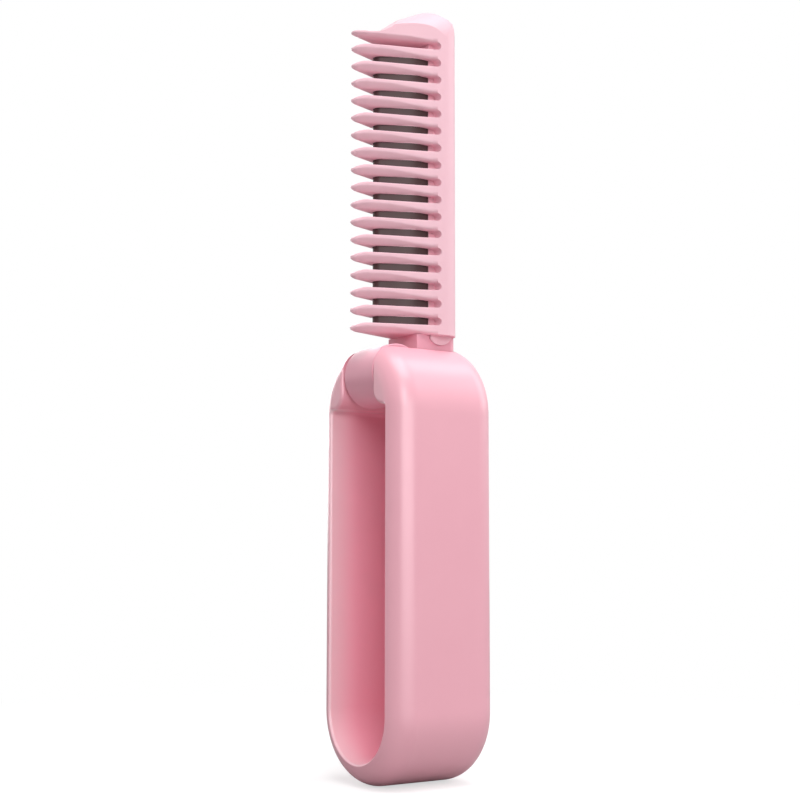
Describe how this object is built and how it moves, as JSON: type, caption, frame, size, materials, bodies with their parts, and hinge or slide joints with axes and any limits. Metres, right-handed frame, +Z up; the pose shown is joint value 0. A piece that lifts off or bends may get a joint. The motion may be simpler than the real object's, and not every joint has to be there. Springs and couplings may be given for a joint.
{
  "type": "folding cordless hair straightening comb",
  "caption": "Cordless hair straightener: a heated comb head folds on a barrel hinge into the groove of a pill-shaped rechargeable handle.",
  "frame": {"origin": "middle of the handle's width at the level of its lowest point, halfway between the tooth tips and the handle's back face", "axes": "+Z up the handle and the opened comb, -Y the way the groove and the tooth tips face, +X to the right seen from behind"},
  "size_m": [0.048, 0.0444, 0.2672],
  "materials": {
    "pink_shell": "satin moulded plastic in soft pink",
    "pink_comb": "satin moulded heat-resistant plastic in soft pink",
    "rose_hinge": "satin moulded plastic in a deeper rose pink",
    "coated_plate": "aluminium with a dark warm-grey coating",
    "steel": "plain bright steel",
    "battery_foil": "smooth laminated foil",
    "foam": "soft black foam",
    "circuit_board": "green solder mask",
    "wire_sleeve": "red silicone sleeve",
    "dark_plastic": "black moulded plastic",
    "white_plastic": "natural white nylon",
    "clear_plastic": "frosted clear acrylic",
    "white_ceramic": "sintered white ceramic",
    "heat_proof_plastic": "natural tan high-temperature plastic",
    "mica": "pressed mica sheet"
  },
  "bodies": {
    "handle": {"handle_shell": "pink_shell", "back_cover": "pink_shell", "cover_screws": "steel", "battery_cell": "battery_foil", "battery_pads": "foam", "protection_board": "circuit_board", "battery_leads": "wire_sleeve", "control_board": "circuit_board", "board_screws": "steel", "tact_switch": "dark_plastic", "indicator_leds": "white_plastic", "light_pipes": "clear_plastic", "charging_board": "circuit_board", "charging_socket": "steel", "hinge_pin": "steel", "hinge_pin_plug": "pink_shell", "hinge_washers": "white_plastic", "feed_leads": "wire_sleeve"},
    "comb": {"hinge_arm": "rose_hinge", "arm_screws": "steel", "comb_shell": "pink_comb", "spine_cover": "pink_comb", "heating_plate": "coated_plate", "ceramic_heater": "white_ceramic", "plate_carrier": "heat_proof_plastic", "insulating_sheet": "mica", "temperature_sensor": "dark_plastic", "thermal_fuse": "steel", "heater_leads": "wire_sleeve"},
    "button": {"power_button": "pink_shell"}
  },
  "joints": [
    {"name": "comb_fold", "type": "hinge", "parent": "handle", "child": "comb", "pos_m": [0, -0.0088, 0.1368], "axis": [1, 0, 0], "range_deg": [0, 180]},
    {"name": "power_button_press", "type": "slide", "parent": "handle", "child": "button", "axis": [0, -1, 0], "range_m": [0, 0.0006], "stiffness_N_per_m": 400, "springref_m": -0.001}
  ]
}
